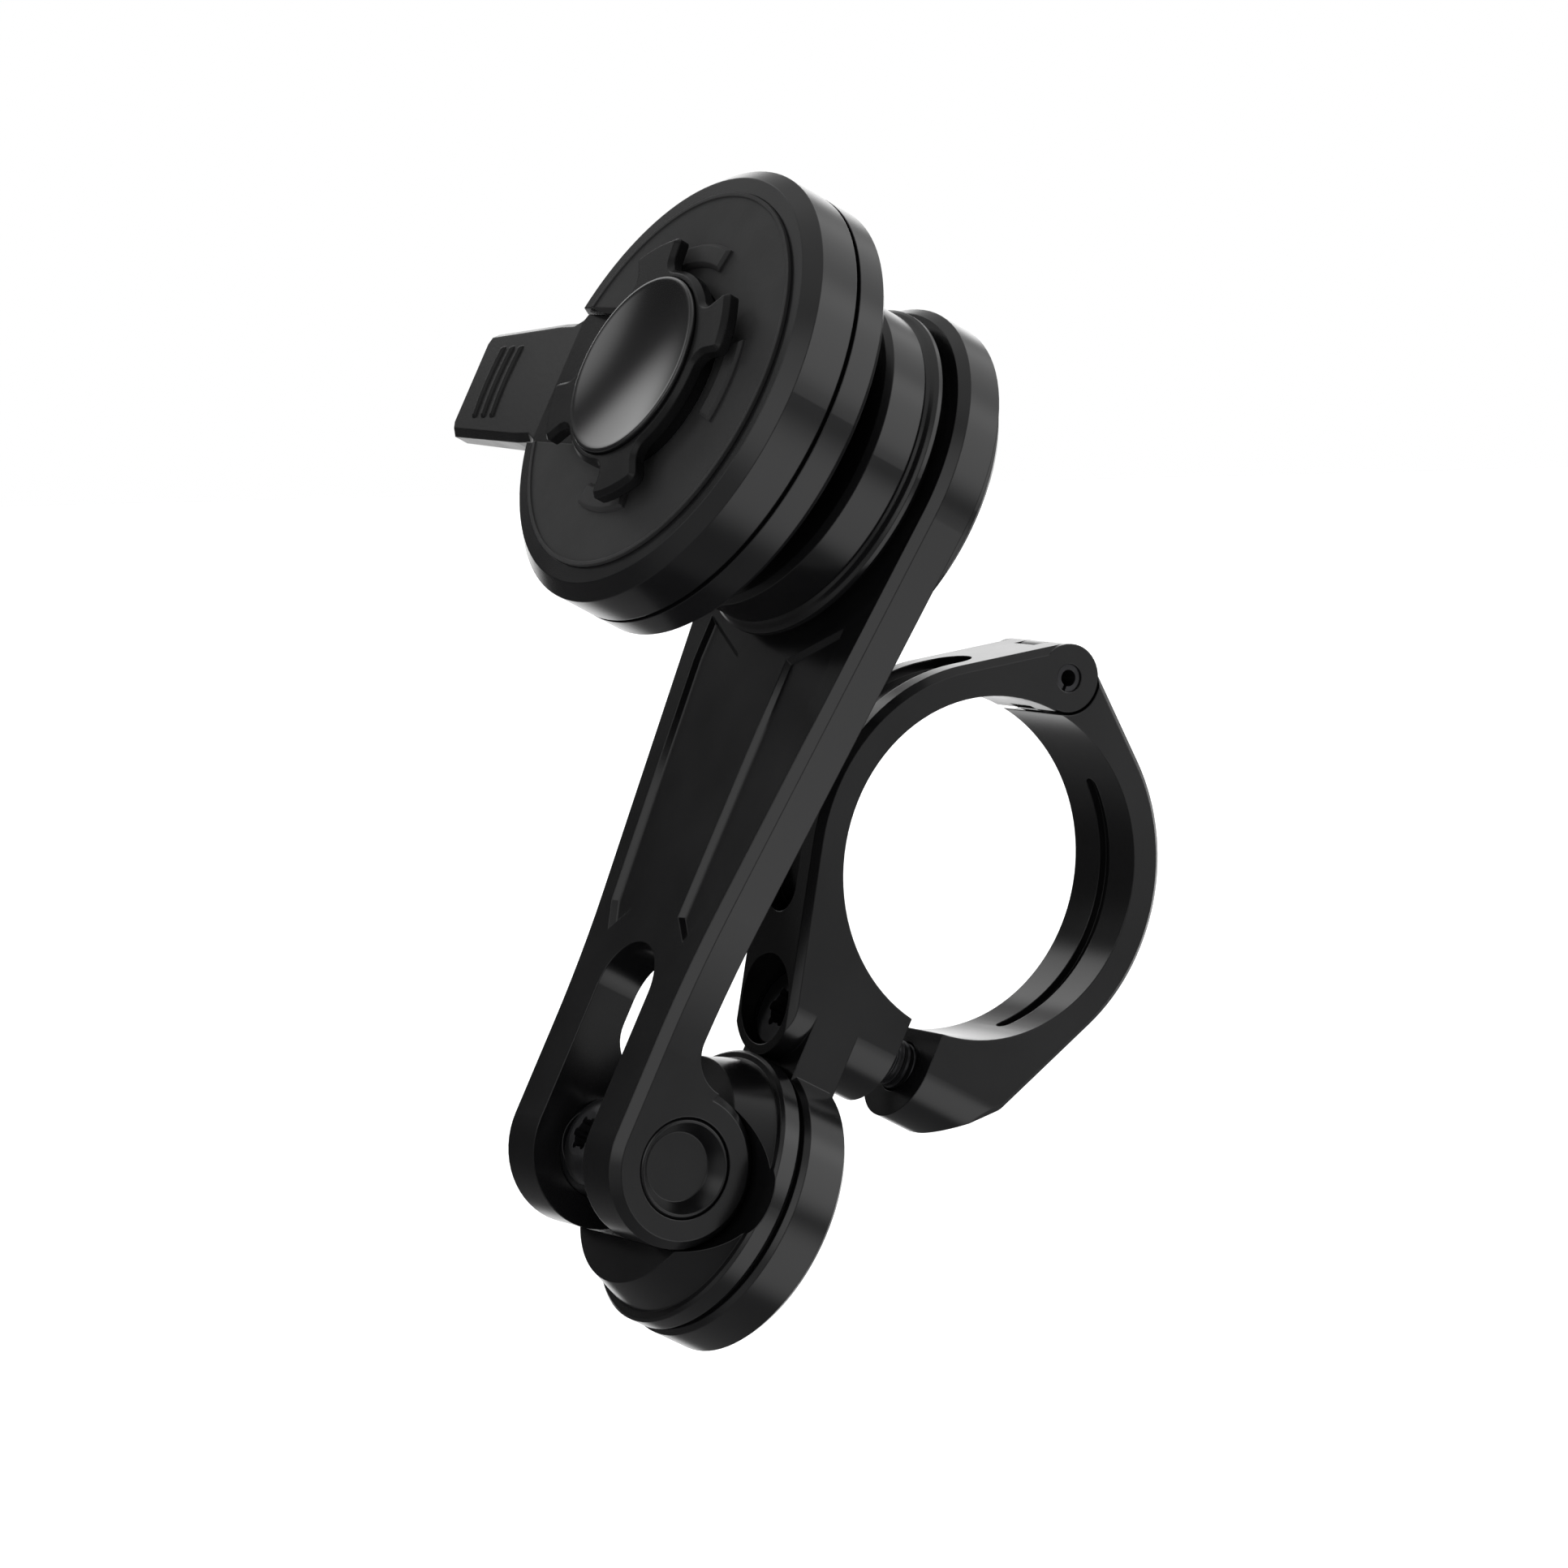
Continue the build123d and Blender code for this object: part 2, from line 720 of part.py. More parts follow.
cap_back_face = arm_back - cap_thickness
cap_dish_radius = 7.6
cap_dish_depth = 1.0
arm_screw_seat = arm_back - 0.5
arm_screw_head_back = arm_screw_seat - arm_screw_head_height
with BuildPart() as rear_cap:
    add(disc(cap_plate_radius, cap_back_face, arm_back, head_height, edge=cap_edge))
    add(
        rods(arm_screws, arm_screw_radius + seat_gap, cap_back_face, arm_back),
        mode=Mode.SUBTRACT,
    )
    add(
        rods(arm_screws, arm_screw_head_radius + seat_gap, cap_back_face, arm_screw_seat),
        mode=Mode.SUBTRACT,
    )
    # shallow recess in the middle of the cover
    add(
        disc(cap_dish_radius, cap_back_face, cap_back_face + cap_dish_depth, head_height),
        mode=Mode.SUBTRACT,
    )
save(rear_cap, "rear_cap")

arm_screw_tip = arm_front + 1.8
with BuildPart() as arm_screw_set:
    add(rods(arm_screws, arm_screw_radius, arm_screw_seat, arm_screw_tip))
    add(rods(arm_screws, arm_screw_head_radius, arm_screw_head_back, arm_screw_seat))
    add(
        star_drive(arm_screws, 1.0, arm_screw_head_back - 0.1, arm_screw_head_back + 0.9),
        mode=Mode.SUBTRACT,
    )
save(arm_screw_set, "arm_screws")

pedestal_top = arm_front + 1.2  # foot of the base, inside its bead
bead_top = arm_front + 2.3
bead_edge = 0.3
isolator_outline = [
    (spindle_hole, arm_front),
    (isolator_pedestal_radius, arm_front),
    (isolator_pedestal_radius, pedestal_top),
    (isolator_radius - bead_edge, pedestal_top),
    (isolator_radius, pedestal_top + bead_edge),
    (isolator_radius, bead_top - bead_edge),
    (isolator_radius - bead_edge, bead_top),
    (isolator_ring_radius, base_top - 0.3),
    (isolator_ring_radius - 0.3, base_top),
    (isolator_cavity_radius, base_top),
    (isolator_cavity_radius, cavity_floor),
    (spindle_hole, cavity_floor),
]
with BuildPart() as isolator_base:
    add(turned(isolator_outline, head_height))
    add(
        rods(arm_screws, arm_screw_radius + slip, arm_front - 1, arm_screw_tip + 0.1),
        mode=Mode.SUBTRACT,
    )
save(isolator_base, "isolator_base")

neck_opening = hub_radius + 1.2
with BuildPart() as isolator_ring:
    add(
        turned(
            [
                (isolator_cavity_radius, base_top),
                (isolator_ring_radius - 0.3, base_top),
                (isolator_ring_radius, base_top + 0.3),
                (isolator_ring_radius, ring_top - 0.6),
                (isolator_ring_radius - 0.6, ring_top),
                (neck_opening, ring_top),
                (neck_opening, cavity_top),
                (isolator_cavity_radius, cavity_top),
            ],
            head_height,
        )
    )
save(isolator_ring, "isolator_ring")

damper_radius = isolator_cavity_radius - 0.2
with BuildPart() as damper_rear:
    add(
        disc(damper_radius, cavity_floor, piston_back, head_height, bore=spindle_hole + 0.4, edge=0.2)
    )
save(damper_rear, "damper_rear")

with BuildPart() as damper_front:
    add(disc(damper_radius, piston_front, cavity_top, head_height, bore=hub_radius + 0.4, edge=0.2))
save(damper_front, "damper_front")

with BuildPart() as isolator_piston:
    add(
        disc(piston_radius, piston_back, piston_front, head_height, bore=spindle_radius + slip)
    )
save(isolator_piston, "isolator_piston")

spindle_tip = rear_back + 2.0
with BuildPart() as spindle_bolt:
    add(rods(head_point, spindle_radius, piston_back, spindle_tip))
    add(
        disc(
            spindle_head_radius,
            piston_back - spindle_head_height,
            piston_back,
            head_height,
            edge=0.3,
        )
    )
    add(
        star_drive(
            head_point,
            1.6,
            piston_back - spindle_head_height,
            piston_back - spindle_head_height + 1.3,
        ),
        mode=Mode.SUBTRACT,
    )
save(spindle_bolt, "spindle_bolt")

# ---------------------------------------------------------------- head
housing_screw_circle = 19.0
housing_screw_radius = 1.1
housing_screw_head = 2.0
housing_screws_at = ring_of(4, housing_screw_circle, head_height, 45)
seam_step = 0.65

with BuildPart() as rear_housing:
    add(
        turned(
            [
                (0, piston_front),
                (hub_radius, piston_front),
                (hub_radius, neck_back),
                (head_neck_radius - 0.5, neck_back),
                (head_neck_radius, neck_back + 0.5),
                (head_neck_radius, rear_back - 0.6),
                (head_neck_radius + 0.6, rear_back),
                (head_radius - 0.7, rear_back),
                (head_radius, rear_back + 0.7),
                (head_radius, rear_front),
                (head_radius - seam_step, rear_front),
                (head_radius - seam_step, front_back),
                (0, front_back),
            ],
            head_height,
        )
    )
    add(
        rods(head_point, spindle_radius + slip, piston_front, spindle_tip + 0.2),
        mode=Mode.SUBTRACT,
    )
    add(
        rods(housing_screws_at, housing_screw_radius + seat_gap, rear_back, front_back),
        mode=Mode.SUBTRACT,
    )
    add(
        rods(housing_screws_at, housing_screw_head + seat_gap, rear_back, rear_back + 1.6),
        mode=Mode.SUBTRACT,
    )
save(rear_housing, "rear_housing")

housing_screw_tip = front_back + 2.6
with BuildPart() as housing_screws:
    add(rods(housing_screws_at, housing_screw_radius, rear_back + 1.6, housing_screw_tip))
    add(rods(housing_screws_at, housing_screw_head, rear_back + 0.3, rear_back + 1.6))
    add(
        star_drive(housing_screws_at, 0.85, rear_back + 0.2, rear_back + 1.1),
        mode=Mode.SUBTRACT,
    )
save(housing_screws, "housing_screws")

# the lever slides between the two housings; its shoulders push on two springs
web = 1.2                       # wall left under the pad
lever_front = pad_front - lever_sink
lever_back = lever_front - lever_thickness
shoulder_inner = 9.6
shoulder_outer = 11.6
shoulder_half = 10.6
shoulder_front = pad_back - web - free
spring_offset = 8.9
spring_radius = 0.8
spring_wire = 0.28
spring_length = 5.6
lever_root = lug_neck_radius + 0.9
lug_screw_circle = 8.35
lug_screw_radius = 0.8
lug_screw_head = 1.5
lug_screws_at = ring_of(4, lug_screw_circle, head_height, 45)

with BuildPart() as front_housing:
    add(
        turned(
            [
                (0, front_back),
                (head_radius - 0.2, front_back),
                (head_radius, front_back + 0.2),
                (head_radius, front_front - head_chamfer),
                (head_radius - head_chamfer, front_front),
                (pad_radius + pad_fit, front_front),
                (pad_radius + pad_fit, pad_back),
                (0, pad_back),
            ],
            head_height,
        )
    )
    # channel for the lever, from the neck of the lug out through the rim
    channel_inner = -lug_neck_radius - 0.3
    channel = [
        (channel_inner, head_height - channel_half_width),
        (channel_inner, head_height + channel_half_width),
        (-head_radius - 1, head_height + channel_half_width),
        (-head_radius - 1, head_height - channel_half_width),
    ]
    channel_floor = lever_back - free
    add(plate(channel, channel_floor, front_front + 1), mode=Mode.SUBTRACT)
    # pocket for the lever's shoulders, and blind holes for the springs
    pocket_outer = shoulder_outer + lever_travel + free
    pocket_half = shoulder_half + free
    pocket = [
        (-shoulder_inner + free, head_height - pocket_half),
        (-shoulder_inner + free, head_height + pocket_half),
        (-pocket_outer, head_height + pocket_half),
        (-pocket_outer, head_height - pocket_half),
    ]
    add(plate(pocket, channel_floor, pad_back - web), mode=Mode.SUBTRACT)
    spring_ahead = (channel_floor + pad_back - web) / 2
    spring_hole_depth = shoulder_outer + spring_length + lever_travel + free - pocket_outer
    for offset in (-spring_offset, spring_offset):
        hole_centre = front.from_local_coords((-pocket_outer, head_height + offset, spring_ahead))
        with BuildSketch(Plane(origin=hole_centre, z_dir=(-1, 0, 0))):
            Circle(spring_radius + slip + 0.1)
        extrude(amount=spring_hole_depth, mode=Mode.SUBTRACT)
    add(
        rods(housing_screws_at, housing_screw_radius + slip, front_back, housing_screw_tip + 0.2),
        mode=Mode.SUBTRACT,
    )
    add(
        rods(lug_screws_at, lug_screw_radius + seat_gap, front_back, pad_back),
        mode=Mode.SUBTRACT,
    )
    add(
        rods(lug_screws_at, lug_screw_head + seat_gap, front_back, pad_back - web),
        mode=Mode.SUBTRACT,
    )
save(front_housing, "front_housing")

rib_inner = 12.2
rib_outer = 14.6
rib_half_angle = 17.5
rib_height = 0.6
pad_border = 0.45


def arc_rib(angle):
    """Raised arc on the pad, centred on one direction, with sloping ends."""
    rib_plane = Plane(
        origin=front.from_local_coords((0, head_height, pad_front)),
        x_dir=front.x_dir,
        z_dir=front.z_dir,
    )
    ends = [angle - rib_half_angle, angle + rib_half_angle]
    with BuildPart() as solid:
        with BuildSketch(rib_plane):
            with BuildLine():
                ThreePointArc(*[polar(rib_inner, turn) for turn in (ends[0], angle, ends[1])])
                Line(polar(rib_inner, ends[1]), polar(rib_outer, ends[1]))
                ThreePointArc(*[polar(rib_outer, turn) for turn in (ends[1], angle, ends[0])])
                Line(polar(rib_outer, ends[0]), polar(rib_inner, ends[0]))
            make_face()
        extrude(amount=rib_height)
        top = solid.faces().sort_by(Axis(front.origin, front.z_dir))[-1]
        chamfer(top.edges(), rib_height / 2)
    return solid.part


with BuildPart() as face_pad:
    add(disc(pad_radius, pad_back, pad_front, head_height, bore=lug_neck_radius + seat_gap))
    # thin raised border round the pad
    add(
        disc(
            pad_radius,
            pad_front,
            pad_front + 0.15,
            head_height,
            bore=pad_radius - pad_border,
        )
    )
    for direction in (0, 90, 270):
        add(arc_rib(direction))
    add(plate(channel, pad_back - 1, pad_front + 2), mode=Mode.SUBTRACT)
save(face_pad, "face_pad")

lug_count = 4
lug_half_angle = 14.0
lug_phase = 22.5
lug_root_fillet = 1.7
lug_tip_fillet = 0.7
lug_plate_chamfer = 0.45


def lug_sector(angle):
    """One wing of the twist-lock plate."""
    start, end = angle - lug_half_angle, angle + lug_half_angle
    root = lug_waist_radius - 2
    with BuildSketch() as sector:
        with BuildLine():
            Line(polar(root, start), polar(lug_tip_radius, start))
            ThreePointArc(*[polar(lug_tip_radius, turn) for turn in (start, angle, end)])
            Line(polar(lug_tip_radius, end), polar(root, end))
            Line(polar(root, end), polar(root, start))
        make_face()
    return sector.sketch


def lug_outline():
    """Front view of the twist-lock plate, with rounded roots and tips."""
    with BuildSketch() as outline:
        Circle(lug_waist_radius)
        for step in range(lug_count):
            add(lug_sector(lug_phase + 360 * step / lug_count))
        middle = (lug_waist_radius + lug_tip_radius) / 2
        tips = [v for v in outline.vertices() if sqrt(v.X**2 + v.Y**2) > middle]
        fillet(tips, lug_tip_fillet)
        roots = [v for v in outline.vertices() if sqrt(v.X**2 + v.Y**2) < lug_waist_radius + 0.1]
        fillet(roots, lug_root_fillet)
    return outline.sketch


cap_recess = 0.5
magnet_back = pad_front - 0.4
with BuildPart() as lock_lug:
    with BuildSketch(facing(lug_plate_back)):
        with Locations((0, head_height)):
            add(lug_outline())
    extrude(amount=lug_plate_thickness)
    plate_faces = lock_lug.faces().sort_by(Axis(front.origin, front.z_dir))
    chamfer(plate_faces[-1].edges(), lug_plate_chamfer)
    add(disc(lug_neck_radius, pad_back, lug_plate_back, head_height))
    add(
        disc(cap_radius + seat_gap, lug_plate_front - cap_recess, lug_plate_front + 1, head_height),
        mode=Mode.SUBTRACT,
    )
    add(
        disc(
            magnet_radius + seat_gap,
            magnet_back,
            lug_plate_front,
            head_height,
        ),
        mode=Mode.SUBTRACT,
    )
    add(
        rods(lug_screws_at, lug_screw_radius + slip, pad_back, pad_back + 3.2),
        mode=Mode.SUBTRACT,
    )
save(lock_lug, "lock_lug")

with BuildPart() as lug_magnet:
    add(disc(magnet_radius, magnet_back, magnet_back + magnet_thickness, head_height, edge=0.2))
save(lug_magnet, "lug_magnet")

dish_depth = 0.75
cap_back = lug_plate_front - cap_recess
cap_rim = cap_radius - 0.45
dish_radius = (cap_rim**2 + dish_depth**2) / (2 * dish_depth)
dish_half_turn = degrees(asin(cap_rim / dish_radius)) / 2
dish_middle = (
    dish_radius * sin(radians(dish_half_turn)),
    cap_front - dish_depth + dish_radius * (1 - cos(radians(dish_half_turn))),
)
with BuildPart() as lug_cap:
    with BuildSketch(section(head_height)):
        with BuildLine():
            Line((0, cap_back), (cap_radius, cap_back))
            Line((cap_radius, cap_back), (cap_radius, cap_front - 0.2))
            Line((cap_radius, cap_front - 0.2), (cap_radius - 0.2, cap_front))
            Line((cap_radius - 0.2, cap_front), (cap_rim, cap_front))
            ThreePointArc((cap_rim, cap_front), dish_middle, (0, cap_front - dish_depth))
            Line((0, cap_front - dish_depth), (0, cap_back))
        make_face()
    revolve(axis=fore_axis(head_height))
save(lug_cap, "lug_cap")

with BuildPart() as lug_screws:
    add(rods(lug_screws_at, lug_screw_radius, pad_back - web, pad_back + 3.0))
    add(rods(lug_screws_at, lug_screw_head, pad_back - web - 1.0, pad_back - web))
save(lug_screws, "lug_screws")

# ---------------------------------------------------------------- release lever
lever_neck_half = 6.7
lever_tip_half = 5.9
lever_bevel = 0.7
grip_rib_places = (40.3, 38.1, 35.9)
grip_rib_length = 8.1
grip_rib_width = 0.8
grip_rib_height = 0.3
grip_rib_bow = 0.5              # how far the middle of a rib leads its ends
lean_tan = tan(radians(lever_lean))
lever_hinge_x = -head_radius + 1.3  # where the handle starts to lean back


def lever_outline():
    """Front view of the lever's handle and tongue."""
    half = channel_half_width - free / 2
    points = [
        (-lever_root, half),
        (lever_hinge_x, half),
        (lever_hinge_x - 1.8, lever_neck_half),
        (lever_hinge_x - 5.2, lever_neck_half),
        (-lever_reach + 0.8, lever_tip_half),
        (-lever_reach, lever_tip_half - 1.2),
    ]
    return points + [(x, -y) for x, y in reversed(points)]


def lever_wedge():
    """Block that gives the handle its lean, wider than the lever."""
    tip_drop = (lever_reach + lever_hinge_x) * lean_tan
    with BuildPart() as solid:
        with BuildSketch(section(head_height)):
            with BuildLine():
                Polyline(
                    (0, lever_front),
                    (lever_hinge_x, lever_front),
                    (-lever_reach - 1, lever_front - tip_drop - lean_tan),
                    (-lever_reach - 1, lever_back - 0.6 * tip_drop),
                    (lever_hinge_x, lever_back),
                    (0, lever_back),
                    close=True,
                )
            make_face()
        extrude(amount=channel_half_width + 1, both=True)
    return solid.part


lever_face = Plane(
    origin=front.from_local_coords((lever_hinge_x, head_height, lever_front)),
    x_dir=front.from_local_coords((1, 0, lean_tan)),
    z_dir=front.from_local_coords((-lean_tan, 0, 1)),
)


def grip_rib(place):
    """One bowed rib across the handle, with sloping walls."""
    near = -place - lever_hinge_x
    far = near + grip_rib_width
    half = grip_rib_length / 2
    with BuildPart() as solid:
        with BuildSketch(lever_face):
            with BuildLine():
                ThreePointArc(
                    (near + grip_rib_bow, -half), (near, 0), (near + grip_rib_bow, half)
                )
                Line((near + grip_rib_bow, half), (far + grip_rib_bow, half))
                ThreePointArc((far + grip_rib_bow, half), (far, 0), (far + grip_rib_bow, -half))
                Line((far + grip_rib_bow, -half), (near + grip_rib_bow, -half))
            make_face()
        extrude(amount=grip_rib_height)
        top = solid.faces().sort_by(Axis(lever_face.origin, lever_face.z_dir))[-1]
        chamfer(top.edges(), grip_rib_height * 0.8)
    return solid.part


with BuildPart() as release_lever:
    outline = [(x, y + head_height) for x, y in lever_outline()]
    add(plate(outline, lever_back - 3, lever_front + 1))
    add(lever_wedge(), mode=Mode.INTERSECT)
    # bevel round the top of the handle
    top_edges = ShapeList()
    for edge in release_lever.edges():
        middle = front.to_local_coords(edge.position_at(0.5))
        surface = lever_front + min(0, (middle.X - lever_hinge_x) * lean_tan)
        if middle.X < lever_hinge_x - 0.05 and abs(middle.Z - surface) < 0.05:
            top_edges.append(edge)
    chamfer(top_edges, lever_bevel)
    for place in grip_rib_places:
        add(grip_rib(place))
    # shoulders under the pad
    shoulders = [
        (-shoulder_inner, head_height - shoulder_half),
        (-shoulder_inner, head_height + shoulder_half),
        (-shoulder_outer, head_height + shoulder_half),
        (-shoulder_outer, head_height - shoulder_half),
    ]
    add(plate(shoulders, lever_back, shoulder_front))
save(release_lever, "release_lever")

with BuildPart() as lever_springs:
    turns = 6
    coil_radius = spring_radius - spring_wire / 2
    coil_height = spring_length - 2 * spring_wire
    for offset in (-spring_offset, spring_offset):
        coil_start = front.from_local_coords(
            (-shoulder_outer - spring_wire, head_height + offset, spring_ahead)
        )
        with BuildLine() as coil:
            Helix(
                pitch=coil_height / turns,
                height=coil_height,
                radius=coil_radius,
                center=coil_start,
                direction=(-1, 0, 0),
            )
        with BuildSketch(Plane(origin=coil.line @ 0, z_dir=coil.line % 0)):
            Circle(spring_wire / 2)
        sweep(path=coil.line)
save(lever_springs, "lever_springs")
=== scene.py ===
import json
import math

import bmesh
import bpy
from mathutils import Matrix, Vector


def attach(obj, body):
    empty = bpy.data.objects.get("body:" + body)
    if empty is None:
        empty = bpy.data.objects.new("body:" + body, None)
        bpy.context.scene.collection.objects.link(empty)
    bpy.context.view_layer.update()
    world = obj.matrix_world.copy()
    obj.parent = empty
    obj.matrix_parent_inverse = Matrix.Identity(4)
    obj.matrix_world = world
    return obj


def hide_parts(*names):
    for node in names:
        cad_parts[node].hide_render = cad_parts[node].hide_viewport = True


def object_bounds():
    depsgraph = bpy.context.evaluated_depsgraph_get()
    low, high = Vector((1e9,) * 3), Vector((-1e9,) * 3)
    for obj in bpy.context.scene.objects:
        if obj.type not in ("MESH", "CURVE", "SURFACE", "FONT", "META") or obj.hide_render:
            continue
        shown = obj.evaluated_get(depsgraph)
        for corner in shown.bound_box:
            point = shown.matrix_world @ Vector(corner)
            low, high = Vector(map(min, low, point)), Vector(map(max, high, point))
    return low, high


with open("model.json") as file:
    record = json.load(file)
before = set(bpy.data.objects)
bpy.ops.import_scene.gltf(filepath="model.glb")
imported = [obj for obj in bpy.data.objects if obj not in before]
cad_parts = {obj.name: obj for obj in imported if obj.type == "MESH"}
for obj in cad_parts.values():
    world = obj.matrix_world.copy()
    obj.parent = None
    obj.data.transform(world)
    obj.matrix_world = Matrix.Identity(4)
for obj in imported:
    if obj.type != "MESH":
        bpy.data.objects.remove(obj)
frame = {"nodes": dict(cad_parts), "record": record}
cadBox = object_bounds()
nodes = frame["nodes"]
record = frame["record"]
print("frame loaded:", len(nodes), "nodes")

cameraSetup = {
    "place": (0.57684, -0.36761, 0.06686),
    "heading": 59.01,  # degrees from +Y round to -X
    "dip": 4.905,      # degrees below level
    "lens": 154.66,    # millimetres, as the sensor
    "sensor": 36.0,
    "nearest": 0.01,
    "farthest": 50,
}


def lookDirection(setup):
    heading = math.radians(setup["heading"])
    dip = math.radians(setup["dip"])
    level = math.cos(dip)
    return Vector((-math.sin(heading) * level, math.cos(heading) * level, -math.sin(dip)))


def makeCamera(setup):
    data = bpy.data.cameras.new("studioCamera")
    data.lens = setup["lens"]
    data.sensor_width = setup["sensor"]
    data.clip_start = setup["nearest"]
    data.clip_end = setup["farthest"]
    camera = bpy.data.objects.new("studioCamera", data)
    bpy.context.scene.collection.objects.link(camera)
    camera.location = setup["place"]
    camera.rotation_mode = "QUATERNION"
    camera.rotation_quaternion = lookDirection(setup).to_track_quat("-Z", "Y")
    bpy.context.scene.camera = camera


def link(tree, source, target):
    tree.links.new(source, target)


def mapped(tree, source, fromRange, toRange, smooth=False):
    node = tree.nodes.new("ShaderNodeMapRange")
    node.interpolation_type = "SMOOTHSTEP" if smooth else "LINEAR"
    node.inputs["From Min"].default_value = fromRange[0]
    node.inputs["From Max"].default_value = fromRange[1]
    node.inputs["To Min"].default_value = toRange[0]
    node.inputs["To Max"].default_value = toRange[1]
    link(tree, source, node.inputs["Value"])
    return node.outputs["Result"]


studio = {
    "roomGlow": 0.05,       # walls that no lamp falls on
    "glows": [              # way to the middle of each pale area, cosines of its edge, strength
        (lookDirection(cameraSetup), (0.84, 0.96), 1.25),
        (Vector((-0.10, 0.05, 0.99)), (0.60, 0.95), 0.55),
        (Vector((0.80, 0.60, 0.05)), (0.55, 0.95), 0.21),
        (Vector((0.62, 0.70, 0.34)), (0.85, 0.97), 1.30),
        (Vector((-0.05, 0.86, 0.52)), (0.85, 0.98), 0.90),
        (Vector((0.75, 0.30, -0.59)), (0.85, 0.97), 1.00),
        (Vector((-0.58, -0.67, 0.47)), (0.950, 0.99), 1.15),
        (Vector((-0.85, -0.07, 0.50)), (0.960, 0.985), 1.15),
        (Vector((0.50, -0.70, 0.52)), (0.85, 0.97), 0.80),
        (Vector((-0.75, 0.60, 0.25)), (0.80, 0.97), 0.45),
        (Vector((0.20, -0.95, 0.20)), (0.60, 0.95), 0.35),
        (Vector((0.0, 0.0, -1.0)), (0.20, 0.80), 0.13),
    ],
    "floorDrop": 0.06,      # below the lowest piece
    "floorSize": 6.0,
    "floorTone": 0.8,
    "floorRoughness": 0.7,
    "floorGlow": 0.75,
}


def glowLobe(tree, direction, middle, edges, strength):
    dot = tree.nodes.new("ShaderNodeVectorMath")
    dot.operation = "DOT_PRODUCT"
    dot.inputs[1].default_value = middle.normalized()
    link(tree, direction, dot.inputs[0])
    return mapped(tree, dot.outputs["Value"], edges, (0, strength), smooth=True)


def makeWorld(setup):
    world = bpy.data.worlds.new("studioWorld")
    bpy.context.scene.world = world
    world.use_nodes = True
    tree = world.node_tree
    tree.nodes.clear()
    direction = tree.nodes.new("ShaderNodeTexCoord").outputs["Generated"]
    total = None
    for middle, edges, strength in setup["glows"]:
        lobe = glowLobe(tree, direction, middle, edges, strength)
        add = tree.nodes.new("ShaderNodeMath")
        add.operation = "ADD"
        if total:
            link(tree, total, add.inputs[0])
        else:
            add.inputs[0].default_value = setup["roomGlow"]
        link(tree, lobe, add.inputs[1])
        total = add.outputs[0]
    room = tree.nodes.new("ShaderNodeBackground")  # what the mount mirrors
    pale = tree.nodes.new("ShaderNodeBackground")  # what stands behind it
    mix = tree.nodes.new("ShaderNodeMixShader")
    path = tree.nodes.new("ShaderNodeLightPath")
    out = tree.nodes.new("ShaderNodeOutputWorld")
    for background in (room, pale):
        background.inputs["Color"].default_value = (1, 1, 1, 1)
    link(tree, total, room.inputs["Strength"])
    link(tree, path.outputs["Is Camera Ray"], mix.inputs["Fac"])
    link(tree, room.outputs[0], mix.inputs[1])
    link(tree, pale.outputs[0], mix.inputs[2])
    link(tree, mix.outputs[0], out.inputs["Surface"])


def makeFloor(setup):
    half = setup["floorSize"] / 2
    drop = cadBox[0].z - setup["floorDrop"]
    mesh = bpy.data.meshes.new("paleFloor")
    corners = [(-half, -half, drop), (half, -half, drop), (half, half, drop), (-half, half, drop)]
    mesh.from_pydata(corners, [], [(0, 1, 2, 3)])
    floor = bpy.data.objects.new("paleFloor", mesh)
    bpy.context.scene.collection.objects.link(floor)
    material = bpy.data.materials.new("paleFloor")
    material.use_nodes = True
    shader = material.node_tree.nodes["Principled BSDF"]
    tone = setup["floorTone"]
    shader.inputs["Base Color"].default_value = (tone, tone, tone, 1)
    shader.inputs["Roughness"].default_value = setup["floorRoughness"]
    shader.inputs["Emission Color"].default_value = (1, 1, 1, 1)
    shader.inputs["Emission Strength"].default_value = setup["floorGlow"]
    mesh.materials.append(material)
    floor.visible_glossy = False


makeCamera(cameraSetup)
makeWorld(studio)
makeFloor(studio)
bpy.context.scene.view_settings.view_transform = "Standard"
print("studio ready")


surface = {
    "edgeSamples": 6,
    "cloudDetail": 4,
    "cloudRoughness": 0.55,
    "cloudRange": (0.3, 0.7),  # where the cloud turns from the first value to the second
    "grainDetail": 2,
    "grainRoughness": 0.6,
}


def noise(tree, scale, detail, roughness):
    place = tree.nodes.new("ShaderNodeTexCoord")
    node = tree.nodes.new("ShaderNodeTexNoise")
    node.inputs["Scale"].default_value = scale
    node.inputs["Detail"].default_value = detail
    node.inputs["Roughness"].default_value = roughness
    link(tree, place.outputs["Object"], node.inputs["Vector"])
    return node.outputs["Fac"]


def mixedColour(tree, factor, first, second):
    node = tree.nodes.new("ShaderNodeMix")
    node.data_type = "RGBA"
    node.inputs["A"].default_value = (*first, 1)
    node.inputs["B"].default_value = (*second, 1)
    link(tree, factor, node.inputs["Factor"])
    return node.outputs["Result"]


def addGrain(tree, shader, finish):
    bevel = tree.nodes.new("ShaderNodeBevel")
    bevel.samples = surface["edgeSamples"]
    bevel.inputs["Radius"].default_value = finish["edge"]
    bump = tree.nodes.new("ShaderNodeBump")
    bump.inputs["Strength"].default_value = finish["relief"]
    bump.inputs["Distance"].default_value = finish["grainDepth"]
    height = noise(tree, finish["grain"], surface["grainDetail"], surface["grainRoughness"])
    link(tree, height, bump.inputs["Height"])
    link(tree, bevel.outputs["Normal"], bump.inputs["Normal"])
    link(tree, bump.outputs["Normal"], shader.inputs["Normal"])


